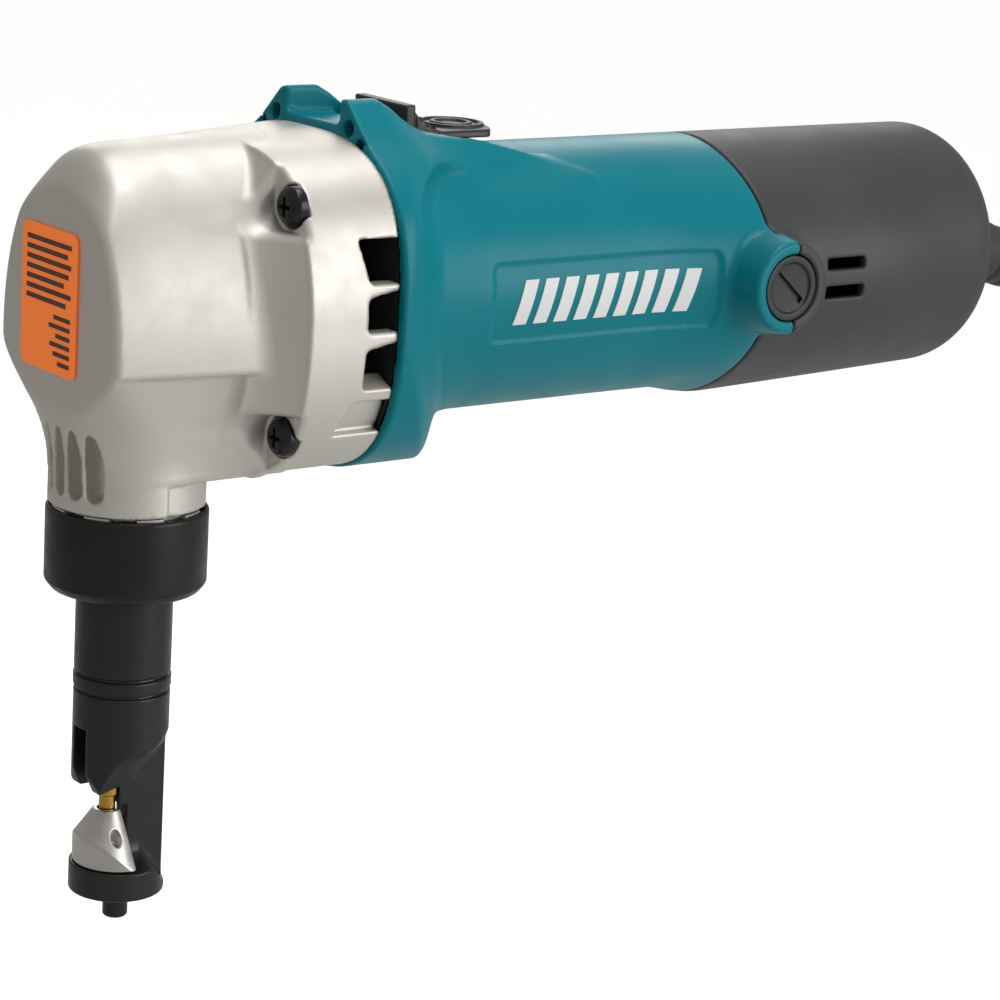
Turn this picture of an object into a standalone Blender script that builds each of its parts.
"""Corded sheet-metal nibbler, built as an assembly of separate pieces.

Frame: the vertical punch axis is Z, and +Z is up. +X points to the motor, the switch and the
cord, so the gear housing's front is at -X. The origin is the centre of the die screw's flat
underside. Each shape is worked out about the point AXIS_HEIGHT above it, where the punch axis
crosses the motor axis, and an empty at that point carries them all. Lengths below are in
millimetres; MM turns them into Blender's metres.
"""

import math

import bmesh
import bpy
from mathutils import Matrix, Vector

MM = 0.001
TAU = 2 * math.pi

# ---- driving dimensions (mm) -------------------------------------------------------------
AXIS_HEIGHT = 144.5       # motor axis above the die screw's underside
GAP = 0.3                 # clearance between neighbouring pieces
AROUND = 36               # points round each casing section

CASE_FRONT = -19.2        # front face of the gear housing
CASE_WIDE_Z = -9.0        # height at which the crank case is widest
CASE_CREASE_Z = -11.5     # lower edge of the crank case's side faces
CASE_HALF_FRONT = 24.8    # half width at the front face
CASE_HALF_BACK = 30.0     # half width where the sloped band starts
BAND_START = 13.0
BAND_END = 21.5
FLANGE_X = 44.5           # joint face between gear housing and motor housing
FLANGE = (37.8, 36.8, 39.3, 2.85)     # half width, rise, drop and squareness of its outline
RIM = (39.3, 37.6, 40.2, 2.7)         # the same for the motor housing's front
CHAMBER_R = 33.5          # fan chamber inside the flange
NECK_R = 17.8
NECK_BOTTOM = -45.4
SPIGOT_R = 15.4           # threaded spigot under the neck
SPIGOT_BOTTOM = -61.0

NUT_R = 18.2
NUT_TOP = -46.2
NUT_BOTTOM = -65.2
HOLDER_R = 10.9
HOLDER_BORE = 7.5
HOLDER_FLANGE_R = 13.4
BASE_TOP = -130.6
BASE_BOTTOM = -137.35
DIE_R = 10.2
DIE_TOP = -117.6
DIE_TOP_R = 3.2
PUNCH_X = -2.9            # the cutting tip stands forward of the punch axis
NOSE_BOTTOM = -112.2      # the prongs that strip the sheet end here
WEB_HALF = 2.5            # half the width of the web behind the die, no wider than the cut slot
WEB_FRONT = -1.3
PUNCH_R = 1.9
PUNCH_TIP = -126.5
STROKE = 5.0

MODULE = 0.75             # gear tooth module
PINION_TEETH = 8
GEAR_TEETH = 36
CRANK_Z = MODULE * (PINION_TEETH + GEAR_TEETH) / 2
CRANK_THROW = STROKE / 2
CRANK_PIN_R = 2.2

SHAFT_R = 5.0             # armature shaft in the windings
JOURNAL_R = 3.4           # armature shaft in its bearings
PARTING_X = 156.0         # joint face between motor housing and rear cover
BARREL_R = 31.0
BARREL_BORE = 28.2
COVER_END = 241.8
WALL = 2.6

BRUSH_X = 156.3
BRUSH_BOSS_R = 11.0
BRUSH_BOSS_Y = 43.1
BRUSH_CAP_R = 7.9
BRUSH_BORE = 8.3

KNOB_FRONT = 63.4
KNOB_HALF = 10.3
KNOB_TOP = 42.1
KNOB_DECK = 35.4
PAD_X = 83.9
SWITCH_TRAVEL = 4.5
EAR_TOP = 44.2            # rails on both sides of the knob
VALLEY_HALF = 10.6
VALLEY_FLOOR = 38.4

SCREW_Y = 27.5
SCREW_Z = (24.0, -27.0)
SCREW_SEAT = 23.8
SCREW_HEAD_R = 4.5


# ---- materials ---------------------------------------------------------------------------
def material(name, colour, roughness, metallic):
    made = bpy.data.materials.new(name)
    made.use_nodes = True
    shader = made.node_tree.nodes["Principled BSDF"]
    shader.inputs["Base Color"].default_value = (*colour, 1)
    shader.inputs["Roughness"].default_value = roughness
    shader.inputs["Metallic"].default_value = metallic
    made.diffuse_color = (*colour, 1)
    return made


for old in list(bpy.data.objects):
    bpy.data.objects.remove(old, do_unlink=True)

CAST = material("cast_aluminium", (0.62, 0.61, 0.57), 0.42, 0.85)
TEAL = material("teal_nylon", (0.0, 0.23, 0.28), 0.38, 0.0)
DARK = material("charcoal_nylon", (0.055, 0.057, 0.06), 0.5, 0.0)
BLACKED = material("blackened_steel", (0.02, 0.021, 0.021), 0.35, 0.6)
STEEL = material("ground_steel", (0.56, 0.56, 0.55), 0.25, 1.0)
TITANIUM = material("gold_coated_steel", (0.6, 0.36, 0.07), 0.25, 1.0)
BRONZE = material("bearing_bronze", (0.48, 0.29, 0.11), 0.35, 1.0)
COPPER = material("copper_winding", (0.55, 0.2, 0.07), 0.4, 1.0)
BRASS = material("brass", (0.6, 0.42, 0.14), 0.3, 1.0)
LAMINATE = material("laminated_iron", (0.2, 0.2, 0.21), 0.55, 0.8)
CARBON = material("carbon_brush", (0.03, 0.03, 0.033), 0.7, 0.2)
BLACK = material("black_plastic", (0.018, 0.018, 0.02), 0.45, 0.0)
RUBBER = material("cord_rubber", (0.03, 0.031, 0.034), 0.6, 0.0)
LABEL = material("orange_label", (0.8, 0.17, 0.03), 0.45, 0.0)


# ---- mesh helpers ------------------------------------------------------------------------
def smooth(t):
    """Smoothstep, from 0 at t=0 to 1 at t=1."""
    t = min(max(t, 0.0), 1.0)
    return t * t * (3 - 2 * t)


def mix(a, b, t):
    return a + (b - a) * t


def finish_mesh(name, bm, made_of):
    """An object from a bmesh in millimetres, its faces pointing out and its round parts smooth."""
    bmesh.ops.recalc_face_normals(bm, faces=bm.faces)
    bmesh.ops.scale(bm, vec=(MM, MM, MM), verts=bm.verts)
    mesh = bpy.data.meshes.new(name)
    bm.to_mesh(mesh)
    bm.free()
    mesh.materials.append(made_of)
    shape = bpy.data.objects.new(name, mesh)
    bpy.context.scene.collection.objects.link(shape)
    soften(shape)
    return shape


def soften(shape):
    shape.data.shade_smooth()
    shape.data.set_sharp_from_angle(angle=math.radians(32))


def loft(name, rings, made_of, cyclic=False):
    """A skin over rings of equal length; the end rings are capped unless the loft closes on itself."""
    bm = bmesh.new()
    rows = [[bm.verts.new(point) for point in ring] for ring in rings]
    pairs = list(zip(rows, rows[1:]))
    if cyclic:
        pairs.append((rows[-1], rows[0]))
    count = len(rows[0])
    for lower, upper in pairs:
        for i in range(count):
            j = (i + 1) % count
            bm.faces.new((lower[i], lower[j], upper[j], upper[i]))
    if not cyclic:
        bm.faces.new(rows[0])
        bm.faces.new(rows[-1])
    return finish_mesh(name, bm, made_of)


def place(axis, along, r, angle, centre):
    """A point at a distance along an axis and a radius and an angle round it."""
    a, b = r * math.cos(angle), r * math.sin(angle)
    x, y, z = centre
    return {
        "X": (x + along, y + a, z + b),
        "Y": (x + a, y + along, z + b),
        "Z": (x + a, y + b, z + along),
    }[axis]


def turned(name, profile, made_of, axis="X", centre=(0, 0, 0), steps=24):
    """A solid of revolution from (along, radius) points. A radius of 0 at both ends closes it."""
    bm = bmesh.new()
    rows = []
    for along, r in profile:
        if r == 0:
            rows.append([bm.verts.new(place(axis, along, 0, 0, centre))])
            continue
        ring = [place(axis, along, r, TAU * i / steps, centre) for i in range(steps)]
        rows.append([bm.verts.new(point) for point in ring])
    pairs = list(zip(rows, rows[1:]))
    if profile[0][1] > 0 and profile[-1][1] > 0:
        pairs.append((rows[-1], rows[0]))
    for first, second in pairs:
        for i in range(steps):
            j = (i + 1) % steps
            corners = [first[i % len(first)], first[j % len(first)]]
            corners += [second[j % len(second)], second[i % len(second)]]
            bm.faces.new(list(dict.fromkeys(corners)))
    return finish_mesh(name, bm, made_of)


def rod(name, start, end, r, made_of, axis="X", centre=(0, 0, 0), steps=24):
    return turned(name, [(start, 0), (start, r), (end, r), (end, 0)], made_of, axis, centre, steps)


def ring_piece(name, start, end, inner, outer, made_of, axis="X", centre=(0, 0, 0), steps=24):
    profile = [(start, inner), (start, outer), (end, outer), (end, inner)]
    return turned(name, profile, made_of, axis, centre, steps)


def block(name, low, high, made_of=BLACK):
    bm = bmesh.new()
    bmesh.ops.create_cube(bm, size=1)
    for vert in bm.verts:
        for i in range(3):
            vert.co[i] = mix(low[i], high[i], vert.co[i] + 0.5)
    return finish_mesh(name, bm, made_of)


def prism(name, outline, start, end, made_of, axis="X"):
    """A flat outline of (a, b) points pushed along an axis."""
    order = {"X": lambda a, b, t: (t, a, b), "Y": lambda a, b, t: (a, t, b), "Z": lambda a, b, t: (a, b, t)}[axis]
    return loft(name, [[order(a, b, t) for a, b in outline] for t in (start, end)], made_of)


def combine(target, tools, operation, solver):
    """Applies Boolean modifiers to the target and removes the tools that it used."""
    for tool in tools:
        tool.hide_render = True
        tool.display_type = "WIRE"
        modifier = target.modifiers.new(tool.name, "BOOLEAN")
        modifier.operation = operation
        modifier.solver = solver
        modifier.object = tool
    bpy.context.view_layer.update()
    graph = bpy.context.evaluated_depsgraph_get()
    result = bpy.data.meshes.new_from_object(target.evaluated_get(graph))
    target.modifiers.clear()
    target.data = result
    for tool in tools:
        bpy.data.objects.remove(tool, do_unlink=True)
    soften(target)
    return target


def cut(target, *tools, solver="EXACT"):
    return combine(target, tools, "DIFFERENCE", solver)


def join(target, *tools, solver="EXACT"):
    return combine(target, tools, "UNION", solver)


def set_origin(shape, point):
    """Moves an object's origin to a point in millimetres and leaves its shape where it is."""
    at = Vector(point) * MM
    shape.data.transform(Matrix.Translation(shape.location - at))
    shape.location = at
    return shape


# ---- outlines ----------------------------------------------------------------------------
def superellipse(angle, half_w, up, down, power):
    """Distance from the centre to the edge of a squarish oval in the direction of an angle."""
    c, s = math.cos(angle), math.sin(angle)
    half_h = up if s >= 0 else down
    return (abs(c / half_w) ** power + abs(s / half_h) ** power) ** (-1 / power)


def section(x, radius, count=AROUND):
    """A ring of points in a plane across the motor axis, from a polar radius function."""
    ring = []
    for i in range(count):
        angle = TAU * i / count
        r = radius(angle)
        ring.append((x, r * math.cos(angle), r * math.sin(angle)))
    return ring


def flange_radius(angle, grow=0.0):
    return superellipse(angle, *FLANGE) + grow


def case_top(x):
    """Height of the crank case's roof, which rounds down towards the front."""
    if x < 0:
        return 35.2 - 6.4 * (x / CASE_FRONT) ** 3
    return 35.2 + 1.6 * (1 - (1 - x / FLANGE_X) ** 2)


def case_radius(angle, x, inset=0.0):
    """Crank case outline: an elliptical roof over a shallow curved chin."""
    half = mix(CASE_HALF_FRONT, CASE_HALF_BACK, (x - CASE_FRONT) / (BAND_START - CASE_FRONT)) - inset
    tall = case_top(x) - CASE_WIDE_Z - inset
    c, s = math.cos(angle), math.sin(angle)
    quad = (c / half) ** 2 + (s / tall) ** 2
    lin = -s * CASE_WIDE_Z / tall ** 2
    rest = (CASE_WIDE_Z / tall) ** 2 - 1
    roof = (-lin + math.sqrt(lin ** 2 - quad * rest)) / quad
    if s >= 0:
        return roof
    chin = mix(10.5, 5.0, (x - CASE_FRONT) / (BAND_START - CASE_FRONT))
    drop = chin - CASE_CREASE_Z - inset
    bend = chin * (c / half) ** 2
    floor = 2 * drop / (-s + math.sqrt(s ** 2 + 4 * bend * drop))
    return min(roof, floor)


# ---- gear housing ------------------------------------------------------------------------
def crank_case():
    rings = []
    for x, inset in ((CASE_FRONT, 2.0), (CASE_FRONT + 0.6, 0.7), (CASE_FRONT + 2, 0.0)):
        rings.append(section(x, lambda angle: case_radius(angle, x, inset)))
    for x in (-15.0, -11.0, -5.0, 2.0, 8.0, BAND_START):
        rings.append(section(x, lambda angle: case_radius(angle, x)))
    for step in (0.25, 0.5, 0.75, 1.0):
        x = mix(BAND_START, BAND_END, step)
        share = smooth(step) * 0.5 + step * 0.5
        rings.append(section(x, lambda angle: mix(case_radius(angle, x), flange_radius(angle, -0.7), share)))
    rings.append(section(BAND_END + 4, lambda angle: flange_radius(angle, -0.7)))
    return loft("gear_housing", rings, CAST)


def neck_web_ring(z, inset=0.0):
    """Plan outline at one height: a rounded front round the neck, flaring back to the flange."""
    lift = max(0.0, z + 34)
    half = NECK_R + 0.30 * lift
    front = NECK_R + 0.05 * lift
    power = 2 + 1.5 * min(lift / 22, 1)
    half_w, _, drop, power_flange = FLANGE
    far = half_w * (1 - min(-z / drop, 1) ** power_flange) ** (1 / power_flange) - 1.2 - inset
    ring = []
    for i in range(25):
        angle = math.pi / 2 + math.pi * i / 24
        c, s = math.cos(angle), math.sin(angle)
        ring.append((-front * abs(c) ** (2 / power), math.copysign(abs(s) ** (2 / power), s) * half, z))
    back = []
    for i in range(1, 8):
        t = i / 7
        back.append((26 * t, half + (max(far, half) - half) * t ** 2.4))
    ring += [(x, -y, z) for x, y in back]
    ring += [(x, y, z) for x, y in reversed(back)]
    return ring


def gear_housing():
    body = crank_case()
    levels = [(-39.2, 3.0), (-38.0, 1.2), (-36.0, 0.0), (-34.0, 0.0), (-30.0, 0.0)]
    levels += [(-26.0, 0.0), (-22.0, 0.0), (-18.0, 0.0), (-14.0, 0.0), (-8.0, 0.0)]
    web = loft("web", [neck_web_ring(z, inset) for z, inset in levels], CAST)
    neck = rod("neck", NECK_BOTTOM, -20, NECK_R, CAST, "Z", steps=AROUND)
    spigot = rod("spigot", SPIGOT_BOTTOM, -30, SPIGOT_R, CAST, "Z", steps=AROUND)
    flange = loft("flange", [section(x, flange_radius) for x in (BAND_END, FLANGE_X)], CAST)
    join(body, web, neck, spigot, flange, solver="MANIFOLD")
    chambers = [
        rod("fan_chamber", 33, 50, CHAMBER_R, CAST),
        rod("bracket_seat", 22.4, 34, 28.3, CAST),
        rod("gear_chamber", 8, 23, 16.0, CAST, centre=(0, 0, CRANK_Z - 0.8)),
        rod("pinion_chamber", 8, 23, 9.0, CAST),
        block("rod_chamber", (-8.5, -9.5, -8), (8.2, 9.5, 29.6)),
        rod("front_seat", -16.3, -6, 8.2, CAST, centre=(0, 0, CRANK_Z)),
        rod("sleeve_bore", -70, -7, 10.5, CAST, "Z"),
        rod("holder_bore", -70, -44.5, HOLDER_FLANGE_R + GAP, CAST, "Z"),
    ]
    cut(body, *chambers, solver="MANIFOLD")
    windows = []
    for side in (-1, 1):
        for low, high, x in ((7.5, 17.5, 34.5), (-3, 4.6, 36.5), (-16, -7, 36.4), (-26.6, -18.5, 34)):
            y = sorted((side * 29.5, side * 45))
            windows.append(block("window", (x, y[0], low), (60, y[1], high)))
        for z in SCREW_Z:
            at = (0, side * SCREW_Y, z)
            windows.append(rod("pocket", -5, SCREW_SEAT, SCREW_HEAD_R + 0.8, CAST, centre=at, steps=24))
            windows.append(rod("screw_hole", 10, 60, 2.3, CAST, centre=at, steps=16))
    cut(body, *windows, solver="MANIFOLD")
    flutes = []
    for degrees in (-34, -17, 0, 17, 34):
        angle = math.pi + math.radians(degrees)
        at = (19.2 * math.cos(angle), 19.2 * math.sin(angle), 0)
        flutes.append(rod("flute", -41, -27, 2.3, CAST, "Z", at, 12))
    return cut(body, *flutes, solver="MANIFOLD")


def guide_sleeve():
    return ring_piece("guide_sleeve", -44.2, -15, 7.35, 10.2, BRONZE, "Z")


def label_plate():
    outline = []
    for corner_y, corner_z, start in ((13.1, 15.1, 0), (-7.5, 15.1, 90), (-7.5, -13.5, 180), (13.1, -13.5, 270)):
        for step in range(4):
            angle = math.radians(start + 30 * step)
            outline.append((corner_y + 1.5 * math.cos(angle), corner_z + 1.5 * math.sin(angle)))
    return prism("label_plate", outline, CASE_FRONT - 0.55, CASE_FRONT - 0.3, LABEL)


# ---- die and punch set -------------------------------------------------------------------
def neck_ring():
    return ring_piece("neck_ring", -46.7, NECK_BOTTOM - 0.2, SPIGOT_R + GAP, 17.3, STEEL, "Z", steps=40)


def lock_nut():
    inner = SPIGOT_R + GAP
    profile = [
        (NUT_TOP, 17.6), (NUT_TOP - 0.5, NUT_R), (NUT_BOTTOM + 1.0, NUT_R), (NUT_BOTTOM, 17.2),
        (NUT_BOTTOM, 11.3), (SPIGOT_BOTTOM - 0.5, 11.3), (SPIGOT_BOTTOM - 0.5, inner), (-47, inner), (-47, 17.6),
    ]
    return turned("lock_nut", profile, BLACKED, "Z", steps=40)


def die_holder():
    """Tube with a clamping flange, two prongs beside the punch, and a thin web down to the die's base."""
    profile = [
        (-47, HOLDER_BORE), (-47, HOLDER_R), (-57, HOLDER_R), (-57, HOLDER_FLANGE_R), (-61, HOLDER_FLANGE_R),
        (-61, HOLDER_R), (-84.4, HOLDER_R), (-84.4, 10.3), (-85.3, 10.3), (-85.3, 11.05), (-88.2, 11.05),
        (-88.2, 10.3), (-89.1, 10.3), (-89.1, HOLDER_R), (BASE_BOTTOM, HOLDER_R), (BASE_BOTTOM, HOLDER_BORE),
    ]
    body = turned("die_holder", profile, BLACKED, "Z")
    solid_nose = rod("nose", -120, -96, 10.7, BLACKED, "Z")
    solid_base = rod("base", BASE_BOTTOM + 0.1, BASE_TOP, 10.7, BLACKED, "Z")
    web = block("web", (WEB_FRONT - 0.5, -5.5, BASE_BOTTOM + 1), (9.2, 5.5, -94), BLACKED)
    join(body, solid_nose, solid_base, web)
    throat = prism(
        "throat", [(-14, NOSE_BOTTOM), (WEB_FRONT, NOSE_BOTTOM), (WEB_FRONT, -116.8), (0.9, -116.8),
                   (0.9, BASE_TOP), (-14, BASE_TOP)],
        -20, 20, BLACKED, "Y",
    )
    front_slope = prism("slope", [(-14, -116), (-14, -100.3), (-6.8, -116)], -20, 20, BLACKED, "Y")
    slot = block("slot", (-14, -2.4, -125), (PUNCH_X, 2.4, -97.4), BLACKED)
    scoops = []
    for start, end, half in ((-14, WEB_FRONT, 4.5), (WEB_FRONT - 0.01, 14, WEB_HALF)):
        outline = [
            (half, BASE_TOP + 4.0), (half, NOSE_BOTTOM), (half + 1.5, -108.8), (half + 4.0, -104.8), (14, -101.4),
            (14, BASE_TOP - 1.9), (half + 2.6, BASE_TOP + 0.05),
        ]
        for side in (-1, 1):
            turned_out = [(side * y, z) for y, z in outline][::side]
            scoops.append(prism("scoop", turned_out, start, end, BLACKED))
    bore = rod("bore", -101, -90, 3.6, BLACKED, "Z", steps=24)
    collar_bore = rod("collar_bore", -114.6, -93.5, 2.7, BLACKED, "Z", (PUNCH_X, 0, 0), 24)
    tip_bore = rod("tip_bore", -125, -114, 2.15, BLACKED, "Z", (PUNCH_X, 0, 0), 24)
    screw_hole = rod("hole", -150, -120, 2.1, BLACKED, "Z", steps=16)
    cut(body, throat, front_slope, slot, *scoops, bore, collar_bore, tip_bore, screw_hole)
    return body


def die():
    """Round seat under a cone that leans forward round the punch's tip, cut off in front of the web."""
    seat, shoulder, rim = [], [], []
    for step in range(40):
        angle = TAU * step / 40
        c, s = math.cos(angle), math.sin(angle)
        x, y = DIE_R * c, DIE_R * s
        away = math.hypot(x - PUNCH_X, y)
        fall = (1.75 + 0.45 * (x - PUNCH_X) / away) * (away - DIE_TOP_R)
        seat.append((x, y, BASE_TOP + GAP))
        shoulder.append((x, y, max(DIE_TOP - fall, BASE_TOP + 0.4)))
        rim.append((PUNCH_X + DIE_TOP_R * (x - PUNCH_X) / away, DIE_TOP_R * y / away, DIE_TOP))
    body = loft("die", [seat, shoulder, rim], STEEL)
    back = prism("back", [(0.3, -1.9), (-1.8, -11), (14, -11), (14, 11), (-1.8, 11), (0.3, 1.9)],
                 -140, -100, STEEL, "Z")
    punch_hole = rod("punch_hole", -140, -100, PUNCH_R + 0.35, STEEL, "Z", (PUNCH_X, 0, 0), 24)
    chip_hole = rod("chip_hole", -14, -4, 1.6, STEEL, "Y", (-4, 0, -123.1), 16)
    return cut(body, back, punch_hole, chip_hole)


def die_screw():
    profile = [(-AXIS_HEIGHT, 0), (-AXIS_HEIGHT, 2.4), (-144, 2.9), (BASE_BOTTOM - GAP, 2.9), (BASE_BOTTOM - GAP, 1.8),
               (BASE_TOP - 0.6, 1.8), (BASE_TOP - 0.6, 0)]
    return turned("die_screw", profile, BLACKED, "Z", steps=24)


def punch():
    """Round shank with a collar and a cutting tip that stand forward of its axis."""
    profile = [(-100, 0), (-100, 3.0), (-75, 3.0), (-75, 4.2), (-72, 4.2), (-72, 0)]
    body = turned("punch", profile, TITANIUM, "Z", steps=24)
    collar = rod("collar", -114.4, -99, 2.4, TITANIUM, "Z", (PUNCH_X, 0, 0), 24)
    tip = rod("tip", PUNCH_TIP, -113.9, PUNCH_R, TITANIUM, "Z", (PUNCH_X, 0, 0), 24)
    return join(body, collar, tip)


def ram():
    """Plunger that carries the punch; a fork in its top takes the rod's small end."""
    body = rod("ram", -84, -13, 7.1, STEEL, "Z")
    socket = [
        rod("punch_bore", -90, -71.7, 3.3, STEEL, "Z", steps=24),
        rod("head_bore", -75.3, -71.5, 4.5, STEEL, "Z", steps=24),
        block("fork", (-2.9, -9, -30), (2.9, 9, 0)),
        rod("pin_hole", -12, 12, 1.75, STEEL, "X", (0, 0, -20), 16),
        rod("screw_hole", -12, 0, 1.3, STEEL, "Y", (0, 0, -79), 12),
    ]
    return cut(body, *socket)


def punch_screw():
    return rod("punch_screw", -6.6, -3.35, 1.05, BLACKED, "Y", (0, 0, -79), 12)


def connecting_rod():
    """Rod whose long eye leaves room for the crank pin at any crank angle and ram height."""
    eye_z = CRANK_Z - CRANK_THROW
    straight = CRANK_THROW
    half_inner = CRANK_PIN_R + CRANK_THROW + 0.4
    half_outer = half_inner + 2.6

    def long_hole(r):
        ring = []
        for i in range(24):
            angle = TAU * (i + 0.5) / 24
            z = r * math.sin(angle)
            ring.append((r * math.cos(angle), eye_z + z + math.copysign(straight, z)))
        return ring

    body = prism("connecting_rod", long_hole(half_outer), -2.6, 2.6, STEEL)
    shank = block("shank", (-2.6, -3.6, -24), (2.6, 3.6, 6), STEEL)
    join(body, shank)
    return cut(
        body,
        prism("eye", long_hole(half_inner), -9, 9, STEEL),
        rod("pin_hole", -9, 9, 1.7, STEEL, "X", (0, 0, -20), 16),
    )


def wrist_pin():
    return rod("wrist_pin", -6.6, 6.6, 1.5, STEEL, "X", (0, 0, -20), 16)


# ---- crank and gears ---------------------------------------------------------------------
def gear_outline(teeth, tip, root, pitch, share, phase):
    """Straight-flanked teeth; share is the tooth's part of the pitch at the pitch circle."""
    outline = []
    step = TAU / teeth
    for i in range(teeth):
        middle = phase + i * step
        for r, width in ((root, 1.5), (pitch, 1.0), (tip, 0.45), (tip, -0.45), (pitch, -1.0), (root, -1.5)):
            angle = middle - width * share * step / 2
            outline.append((r * math.cos(angle), r * math.sin(angle)))
    return outline


def crank_gear():
    pitch = MODULE * GEAR_TEETH / 2
    teeth = gear_outline(GEAR_TEETH, pitch + 0.6, pitch - 0.95, pitch, 0.42, -math.pi / 2)
    body = prism("crank_gear", [(y, z + CRANK_Z) for y, z in teeth], 10.5, 19.5, STEEL)
    return cut(body, rod("bore", 0, 30, 4.15, STEEL, centre=(0, 0, CRANK_Z)))


def crankshaft():
    """Two journals, a web and an offset pin; the pin is at its lowest point at rest."""
    low = (0, 0, CRANK_Z - CRANK_THROW)
    mid = (0, 0, CRANK_Z)
    body = turned(
        "crankshaft",
        [(4.2, 0), (4.2, 6.6), (7.8, 6.6), (7.8, 5.2), (10.2, 5.2), (10.2, 4.0), (21.6, 4.0), (21.6, 3.4),
         (27.5, 3.4), (27.5, 0)],
        STEEL, centre=mid,
    )
    pin = rod("pin", -7, 5, CRANK_PIN_R, STEEL, centre=low, steps=24)
    front = turned("front", [(-15.6, 0), (-15.6, 3.4), (-8.6, 3.4), (-8.6, 5.6), (-4.2, 5.6), (-4.2, 0)], STEEL,
                   centre=mid)
    return join(body, pin, front)


def bearing(name, start, end, bore, outer, z=0.0):
    """Sealed ball bearing, with a shallow groove between its rings on each face."""
    a, b = mix(bore, outer, 0.35), mix(bore, outer, 0.68)
    profile = [
        (start, bore), (start, a), (start + 0.5, a), (start + 0.5, b), (start, b), (start, outer),
        (end, outer), (end, b), (end - 0.5, b), (end - 0.5, a), (end, a), (end, bore),
    ]
    return turned(name, profile, STEEL, centre=(0, 0, z), steps=16)


def bearing_bracket():
    body = rod("bearing_bracket", 22.8, 32.4, 28.0, CAST, steps=AROUND)
    return cut(
        body,
        rod("armature_seat", 10, 40, 8.15, CAST),
        rod("crank_seat", 10, 40, 6.65, CAST, centre=(0, 0, CRANK_Z)),
        rod("relief", 10, 25, 12.0, CAST, centre=(0, 0, -14)),
        solver="MANIFOLD",
    )


# ---- motor -------------------------------------------------------------------------------
def armature_shaft():
    body = turned(
        "armature_shaft",
        [(20.6, 0), (20.6, JOURNAL_R), (31.4, JOURNAL_R), (31.4, SHAFT_R), (169.6, SHAFT_R), (169.6, JOURNAL_R),
         (178.5, JOURNAL_R), (178.5, 0)],
        STEEL,
    )
    pitch = MODULE * PINION_TEETH / 2
    half_tooth = math.pi / PINION_TEETH
    outline = gear_outline(PINION_TEETH, pitch + 0.6, pitch - 0.95, pitch, 0.4, math.pi / 2 + half_tooth)
    return join(body, prism("pinion", outline, 9.5, 21, STEEL))


def fan():
    """Exhaust fan: a dished back plate with radial blades on its front."""
    body = turned(
        "fan", [(34.2, 5.2), (34.2, 9), (41.6, 9.5), (41.6, 27), (43.6, 27), (43.6, 5.2)], BLACK, steps=27
    )
    blades = []
    for i in range(9):
        blade = block("blade", (35, 8.5, -0.8), (42, 26.5, 0.8))
        blade.data.transform(Matrix.Rotation(TAU * i / 9, 4, "X"))
        blades.append(blade)
    return join(body, *blades)


SLOTS = 10


def armature_core():
    body = ring_piece("armature_core", 86, 126, SHAFT_R + 0.15, 16.5, LAMINATE, steps=30)
    slots = []
    for i in range(SLOTS):
        slot = block("slot", (80, -1.6, 11.4), (132, 1.6, 20))
        slot.data.transform(Matrix.Rotation(TAU * (i + 0.25) / SLOTS, 4, "X"))
        slots.append(slot)
    return cut(body, *slots)


def armature_winding():
    """Copper in the core's slots, joined by the rounded end turns at both ends."""
    ends = []
    for start, end in ((76, 85.7), (126.3, 136)):
        middle = (start + end) / 2
        ends.append(turned("end", [(start, 7), (middle - 2, 14.6), (middle + 2, 14.6), (end, 7)], COPPER, steps=30))
    bars = []
    for i in range(SLOTS):
        bar = block("bar", (82, -1.3, 11.8), (130, 1.3, 14.4), COPPER)
        bar.data.transform(Matrix.Rotation(TAU * (i + 0.25) / SLOTS, 4, "X"))
        bars.append(bar)
    body = join(ends[0], ends[1], *bars)
    body.name = "armature_winding"
    return body


def commutator():
    body = turned(
        "commutator", [(140, 5.15), (140, 11.6), (144.5, 11.6), (145, 11), (166, 11), (166, 5.15)], BRASS, steps=30
    )
    return body


def field_core():
    body = ring_piece("field_core", 84, 128, 24.9, 27.2, LAMINATE, steps=AROUND)
    poles = []
    for side in (-1, 1):
        z = sorted((side * 12, side * 25.6))
        poles.append(block("pole", (84.02, -9, z[0]), (127.98, 9, z[1]), LAMINATE))
    join(body, *poles)
    flat = block("flat", (80, -12, 25.0), (132, 12, 30))
    return cut(body, rod("bore", 70, 140, 17.3, LAMINATE, steps=40), flat)


def field_coil(name, side):
    """Racetrack coil round one pole."""
    z = sorted((side * 13.2, side * 17.6))
    body = block(name, (76.5, -16.5, z[0]), (135.5, 16.5, z[1]), COPPER)
    inner = block("inner", (83.2, -9.4, -30), (128.8, 9.4, 30))
    bore = rod("bore", 70, 140, 17.4, COPPER, steps=40)
    cut(body, inner)
    return cut(body, bore)


def baffle_plate():
    ring = [section(x, lambda angle: flange_radius(angle, -1.4)) for x in (FLANGE_X + GAP, FLANGE_X + 2.5)]
    body = loft("baffle_plate", ring, BLACK)
    return cut(body, rod("mouth", 40, 60, 20.0, BLACK), *[
        rod("screw_hole", 30, 70, 2.4, BLACK, centre=(0, side * SCREW_Y, z), steps=16)
        for side in (-1, 1) for z in SCREW_Z
    ])


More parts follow.
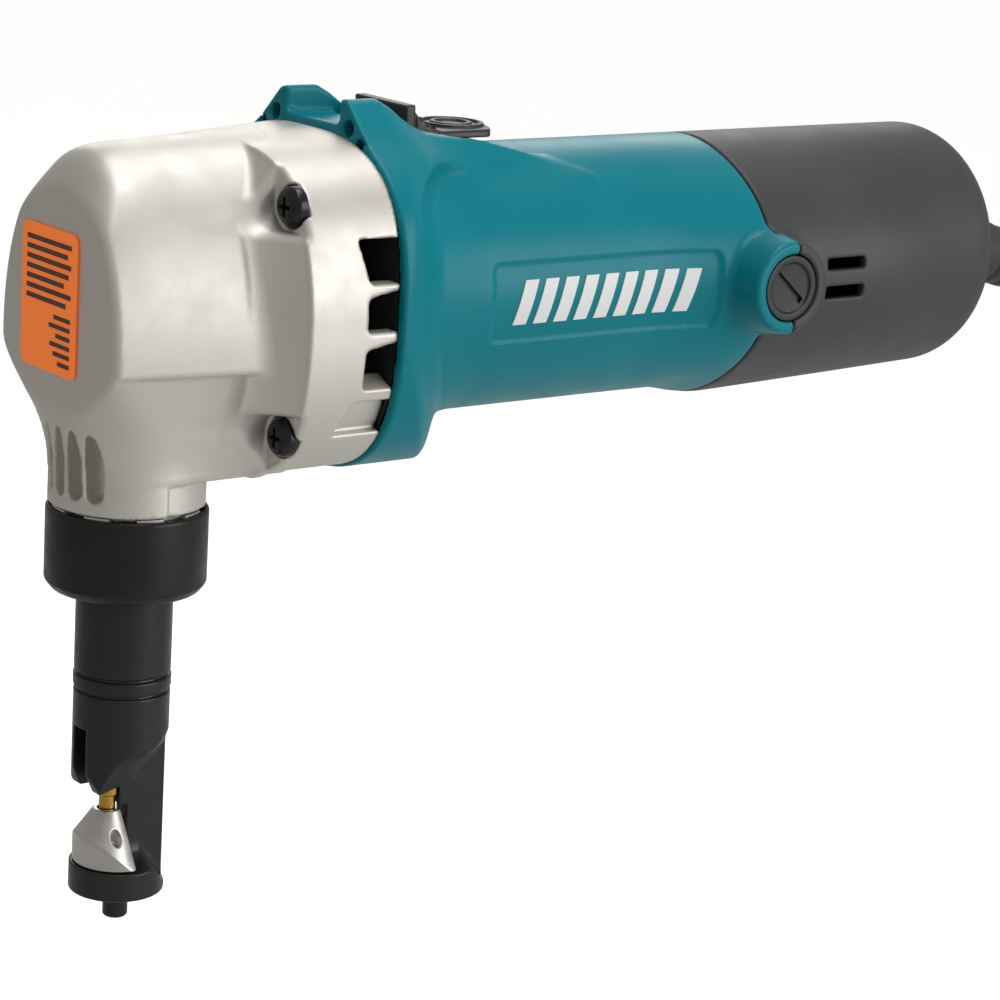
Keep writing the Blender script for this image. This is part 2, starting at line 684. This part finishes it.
def rear_bearing_support():
    body = rod("rear_bearing_support", 170.2, 177.2, 25.0, BLACK, steps=40)
    foot = rod("foot", -28.4, -15, 4.6, BLACK, "Z", (173.7, 0, 0), 20)
    join(body, foot)
    holes = [rod("seat", 160, 190, 8.15, BLACK)]
    for degrees in (35, 90, 145, 215, 325):
        angle = math.radians(degrees)
        at = (0, 16.5 * math.cos(angle), 16.5 * math.sin(angle))
        holes.append(rod("air", 160, 190, 5.2, BLACK, centre=at, steps=20))
    holes.append(rod("pilot", -40, -17, 1.9, BLACK, "Z", (173.7, 0, 0), 12))
    return cut(body, *holes, solver="MANIFOLD")


# ---- brushes -----------------------------------------------------------------------------
def brush_set(tag, side):
    """Cap, holder, carbon and spring on one side of the commutator."""
    def along(a, b):
        return (side * a, side * b)

    at = (BRUSH_X, 0, 0)
    a, b = along(38.6, 42.7)
    c, d = along(35.2, 38.6)
    cap = turned(
        f"brush_cap_{tag}", [(c, 0), (c, 6.6), (d, 6.6), (a, BRUSH_CAP_R), (b - side * 0.8, BRUSH_CAP_R),
                             (b, BRUSH_CAP_R - 0.8), (b, 0)],
        BLACK, "Y", at,
    )
    slot_y = sorted(along(41.0, 45))
    slot = block("slot", (-6.6, slot_y[0], -0.8), (6.6, slot_y[1], 0.8))
    slot.data.transform(Matrix.Translation((BRUSH_X * MM, 0, 0)) @ Matrix.Rotation(math.radians(41), 4, "Y"))
    cut(cap, slot)
    set_origin(cap, (BRUSH_X, side * 38.6, 0))

    start, end = along(14.0, 34.8)
    holder = rod(f"brush_holder_{tag}", start, end, 6.9, BRASS, "Y", at)
    y = sorted(along(10, 40))
    cut(holder, block("channel", (BRUSH_X - 3.6, y[0], -2.9), (BRUSH_X + 3.6, y[1], 2.9)))

    y = sorted(along(11.4, 24.0))
    carbon = block(f"carbon_brush_{tag}", (BRUSH_X - 3.2, y[0], -2.5), (BRUSH_X + 3.2, y[1], 2.5), CARBON)
    set_origin(carbon, (BRUSH_X, side * 17.7, 0))
    coil(f"brush_spring_{tag}", side)


def coil(name, side, start=24.4, end=34.8, r=2.0, wire=0.35, turns=4):
    """Spring wound round the brush's axis."""
    count = turns * 10
    path = []
    for i in range(count + 1):
        angle = TAU * i / 10
        y = side * mix(start + wire, end - wire, i / count)
        path.append(Vector((BRUSH_X + r * math.cos(angle), y, r * math.sin(angle))))
    return tube(name, path, lambda t: wire, STEEL, 5)


def tube(name, path, radius, made_of, steps=20, bore=None):
    """A round bar along a path of points; with a bore it is a hose with both ends open."""
    def frames():
        up = Vector((0, 0, 1))
        for i, point in enumerate(path):
            ahead = path[min(i + 1, len(path) - 1)] - path[max(i - 1, 0)]
            ahead.normalize()
            aside = ahead.cross(up)
            if aside.length < 0.1:
                aside = ahead.cross(Vector((0, 1, 0)))
            aside.normalize()
            yield i / (len(path) - 1), point, aside, aside.cross(ahead)

    def rings(size):
        made = []
        for t, point, aside, above in frames():
            r = size(t)
            made.append([
                point + aside * r * math.cos(TAU * k / steps) + above * r * math.sin(TAU * k / steps)
                for k in range(steps)
            ])
        return made

    if bore is None:
        return loft(name, rings(radius), made_of)
    return loft(name, rings(radius) + rings(lambda t: bore)[::-1], made_of, cyclic=True)


# ---- motor housing and rear cover --------------------------------------------------------
def barrel_radius(angle, x):
    """Round barrel that swells at its sides towards the brushes and at its bottom at the joint."""
    c, s = abs(math.cos(angle)), math.sin(angle)
    r = BARREL_R
    if x <= PARTING_X:
        r += 5.7 * smooth((x - 122) / 34) * c ** 3
    else:
        r += 5.7 * (1 - smooth((x - 188) / 60)) * c ** 3
    if s < 0:
        rise = smooth((x - 142) / 18) if x < 161 else 1 - (x - 161) / 80
        r += (0.5 if x < 142 else 0.3) * (-s) + 2.6 * rise * (-s) ** 4
    return r


def motor_radius(angle, x):
    """The squarish rim turning into the round barrel."""
    c, s = abs(math.cos(angle)), math.sin(angle)
    square = superellipse(angle, *RIM)
    start = mix(60, 52, c)
    length = mix(18, 46, c * c) if s < 0 else mix(30, 46, c * c)
    return mix(square, barrel_radius(angle, x), smooth((x - start) / length))


def ear(side):
    """One of the two rails beside the switch knob."""
    rings = []
    heights = ((FLANGE_X + GAP, EAR_TOP), (53.5, EAR_TOP), (57.2, 42.0), (60.0, 40.0), (63.1, 38.2), (66.6, 36.7),
               (71.8, 35.5), (78.7, 34.4), (86, 33.3), (94, 31.0))
    for x, top in heights:
        reach = smooth((x - 54) / 34)
        outer = mix(25.5, 15.5, reach)
        foot = mix(31.8, 26.5, reach)
        edge = mix(13.0, 12.2, reach)
        points = [(VALLEY_HALF - 2, 24), (VALLEY_HALF - 2, top), (edge, top), (outer, foot), (outer - 1.5, 22)]
        rings.append([(x, side * y, z) for y, z in points])
    return loft("ear", rings, TEAL)


def brush_boss(made_of, side, front):
    """Half of the boss round a brush cap: the motor housing's front half or the cover's rear half."""
    start, end = sorted((side * 27, side * BRUSH_BOSS_Y))
    boss = rod("boss", start, end, BRUSH_BOSS_R, made_of, "Y", (BRUSH_X, 0, 0), 32)
    if front:
        return cut(boss, block("trim", (PARTING_X, -60, -30), (190, 60, 30)))
    return cut(boss, block("trim", (100, -60, -30), (PARTING_X + GAP, 60, 30)))


def motor_housing():
    stations = [FLANGE_X + GAP, 54, 60, 65, 70, 76, 83, 92, 104, 128, 140, 148, PARTING_X]
    body = loft("motor_housing", [section(x, lambda angle: motor_radius(angle, x)) for x in stations], TEAL)
    bosses = [brush_boss(TEAL, side, True) for side in (-1, 1)]
    sill = block("sill", (FLANGE_X + GAP, -9, 30), (60, 9, VALLEY_FLOOR - 0.6), TEAL)
    join(body, ear(-1), ear(1), sill, *bosses, solver="MANIFOLD")
    hollows = [
        turned("hollow", [(40, 0), (40, 33.8), (56, 33.8), (72, BARREL_BORE), (170, BARREL_BORE), (170, 0)], TEAL,
               steps=AROUND),
        loft("baffle_seat", [section(x, lambda angle: flange_radius(angle, -1.0)) for x in (40, FLANGE_X + 2.8)],
             TEAL),
        block("valley", (40, -VALLEY_HALF, VALLEY_FLOOR), (70, VALLEY_HALF, 60)),
        block("knob_bay", (KNOB_FRONT - SWITCH_TRAVEL - 0.6, -VALLEY_HALF, 33.2), (110, VALLEY_HALF, 60)),
        block("knob_slot", (59, -3.6, 20), (77, 3.6, 50)),
        rod("brush_bores", -60, 60, BRUSH_BORE, TEAL, "Y", (BRUSH_X, 0, 0)),
    ]
    for side in (-1, 1):
        for z in SCREW_Z:
            hollows.append(rod("screw_hole", 30, 57.5, 2.3, TEAL, centre=(0, side * SCREW_Y, z), steps=16))
        hollows.append(rod("ear_hole", 40, 50, 1.9, TEAL, centre=(0, side * 14.5, 38), steps=16))
        hollows.append(rod("ear_hole", 40, 50, 1.45, TEAL, centre=(0, side * 19.3, 35), steps=16))
    return cut(body, *hollows, solver="MANIFOLD")


def cover_ring(x, inset=0.0):
    """Rear cover's outline, rounded over at the end."""
    nose = max(0.0, x - (COVER_END - 10.5))
    shrink = 10.5 - math.sqrt(max(0.0, 10.5 ** 2 - nose ** 2))
    return section(x, lambda angle: barrel_radius(angle, x) - shrink * 0.9 - inset)


def rear_cover():
    stations = [PARTING_X + GAP, 161, 188, 210, 231.3, 235.5, 239, COVER_END]
    body = loft("rear_cover", [cover_ring(x) for x in stations], DARK)
    join(body, brush_boss(DARK, -1, False), brush_boss(DARK, 1, False), solver="MANIFOLD")
    inside = [PARTING_X - 3, 161, 188, 210, 231.3, 236, COVER_END - WALL]
    cut(body, loft("inside", [cover_ring(x, WALL) for x in inside], DARK), solver="MANIFOLD")
    openings = [
        rod("brush_bores", -60, 60, BRUSH_BORE, DARK, "Y", (BRUSH_X, 0, 0)),
        rod("cord_hole", 230, 250, 7.6, DARK),
        rod("cover_screw", -50, -20, 2.1, DARK, "Z", (173.7, 0, 0), 16),
        rod("cover_screw_head", -50, -31.4, 3.9, DARK, "Z", (173.7, 0, 0), 20),
    ]
    for low, high in ((1.9, 4.9), (-5.2, -2.0)):
        openings.append(block("louvre", (174, -50, low), (186.5, 50, high)))
    return cut(body, *openings, solver="MANIFOLD")


# ---- switch ------------------------------------------------------------------------------
def switch_knob():
    """Slide knob: a ridge across the front, steps down to a deck with a round thumb pad, and a stem."""
    outline = [(KNOB_FRONT, 34.0), (KNOB_FRONT, KNOB_TOP - 0.7), (KNOB_FRONT + 0.7, KNOB_TOP),
               (KNOB_FRONT + 2.0, KNOB_TOP), (KNOB_FRONT + 2.6, KNOB_TOP - 2)]
    steps = 4
    rise = (KNOB_TOP - 2 - KNOB_DECK) / steps
    for i in range(steps):
        outline.append((KNOB_FRONT + 3.3 + 1.9 * i, KNOB_TOP - 2 - rise * i))
        outline.append((KNOB_FRONT + 3.9 + 1.9 * i, KNOB_TOP - 2 - rise * (i + 1)))
    outline += [(95, KNOB_DECK), (95, 34.0)]
    body = prism("switch_knob", outline, -KNOB_HALF, KNOB_HALF, BLACK, "Y")
    plan = [(60, -20), (87.5, -KNOB_HALF), (90.2, -7), (91.6, -3.6), (92, 0)]
    plan += [(x, -y) for x, y in reversed(plan[:-1])]
    combine(body, [prism("plan", plan, 20, 50, BLACK, "Z")], "INTERSECT", "EXACT")
    pad = ring_piece("pad", KNOB_DECK - 0.2, KNOB_DECK + 1.1, 6.2, 7.7, BLACK, "Z", (PAD_X, 0, 0))
    stem = block("stem", (65.2, -3.2, 27.4), (71.8, 3.2, 35))
    join(body, pad, stem)
    return set_origin(body, (KNOB_FRONT, 0, KNOB_DECK))


def switch_rod():
    body = block("switch_rod", (63, -4, 25.6), (196.5, 4, 26.9))
    tab = block("tab", (193, -2, 12), (196.5, 2, 26))
    join(body, tab)
    return set_origin(body, (130, 0, 26.2))


def switch_body():
    body = block("switch_body", (184, -9.5, -10), (212, 9.5, 14.5))
    return cut(body, block("groove", (187, -2.6, 10.8), (198, 2.6, 20)))


# ---- fasteners and cord ------------------------------------------------------------------
def cross_screw(name, at, head_r, head_h, shank_r, length, direction):
    """Pan-head screw with a cross recess. Its head's underside is at the given point."""
    profile = [(-head_h, 0), (-head_h, head_r * 0.62), (-head_h * 0.8, head_r * 0.88), (-head_h * 0.45, head_r),
               (0, head_r), (0, shank_r), (length, shank_r), (length, 0)]
    body = turned(name, profile, BLACKED, "X", steps=16)
    arms = [
        block("arm", (-9, -head_r * 0.55, -0.55), (-head_h + 1.6, head_r * 0.55, 0.55)),
        block("arm", (-9, -0.55, -head_r * 0.55), (-head_h + 1.6, 0.55, head_r * 0.55)),
    ]
    cut(body, *arms)
    turn = Vector((1, 0, 0)).rotation_difference(Vector(direction)).to_matrix().to_4x4()
    body.data.transform(turn)
    body.location = Vector(at) * MM
    return body


def cord_path(start, end, count):
    """The cord leaves level with the motor axis and droops as it goes back."""
    path = []
    for i in range(count):
        along = mix(start, end, i / (count - 1))
        s = max(0.0, along)
        path.append(Vector((COVER_END + along, 0, -0.1528 * s - 0.00264 * s * s)))
    return path


def cord_guard():
    """Strain relief that tapers as it leaves the cover, with a flange behind the cover's wall."""
    steps = [-5.9, -3.4, -3.3, 0.4, 2.2, 8, 16, 24, 32, 40, 50, 60]
    path = [cord_path(s, s + 1, 2)[0] for s in steps]

    def by_station(t):
        along = steps[round(t * (len(steps) - 1))]
        if along < -3.35:
            return 10.2
        if along <= 0.5:
            return 7.3
        return mix(8.9, 5.9, along / 60)

    return tube("cord_guard", path, by_station, RUBBER, 16, 4.3)


def power_cord():
    return tube("power_cord", cord_path(-24, 100, 14), lambda t: 3.8, RUBBER, 12)


def cord_clamp():
    body = block("cord_clamp", (221, -12, 4.1), (229, 12, 8.5))
    return cut(body, *[
        rod("hole", 0, 20, 1.8, BLACK, "Z", (225, side * 8.5, 0), 16) for side in (-1, 1)
    ])


gear_housing()
guide_sleeve()
label_plate()
neck_ring()
lock_nut()
die_holder()
die()
die_screw()
punch()
ram()
punch_screw()
connecting_rod()
wrist_pin()
crank_gear()
crankshaft()
bearing("crank_front_bearing", -15.9, -9.9, 3.55, 8.0, CRANK_Z)
bearing("crank_rear_bearing", 22.8, 26.8, 3.55, 6.5, CRANK_Z)
bearing_bracket()
bearing("armature_front_bearing", 24.0, 31.0, JOURNAL_R + 0.15, 8.0)
bearing("armature_rear_bearing", 170.2, 177.2, JOURNAL_R + 0.15, 8.0)
armature_shaft()
fan()
armature_core()
armature_winding()
commutator()
field_core()
field_coil("field_coil_upper", 1)
field_coil("field_coil_lower", -1)
baffle_plate()
rear_bearing_support()
brush_set("right", -1)
brush_set("left", 1)
motor_housing()
rear_cover()
switch_knob()
switch_rod()
switch_body()
for tag, side, z in (("upper_right", -1, SCREW_Z[0]), ("lower_right", -1, SCREW_Z[1]),
                     ("upper_left", 1, SCREW_Z[0]), ("lower_left", 1, SCREW_Z[1])):
    cross_screw(f"housing_screw_{tag}", (SCREW_SEAT - GAP, side * SCREW_Y, z), SCREW_HEAD_R, 3.6, 2.0, 32, (1, 0, 0))
cross_screw("rear_cover_screw", (173.7, 0, -31.7), 3.5, 2.2, 1.5, 12, (0, 0, 1))
cord_guard()
power_cord()
cord_clamp()
for tag, side in (("right", -1), ("left", 1)):
    cross_screw(f"cord_clamp_screw_{tag}", (225, side * 8.5, 8.8), 3.0, 2.0, 1.5, 14, (0, 0, -1))

tool_frame = bpy.data.objects.new("tool_frame", None)
tool_frame.location = (0, 0, AXIS_HEIGHT * MM)
bpy.context.scene.collection.objects.link(tool_frame)
for shape in bpy.context.scene.collection.objects:
    if shape.type == "MESH":
        shape.parent = tool_frame
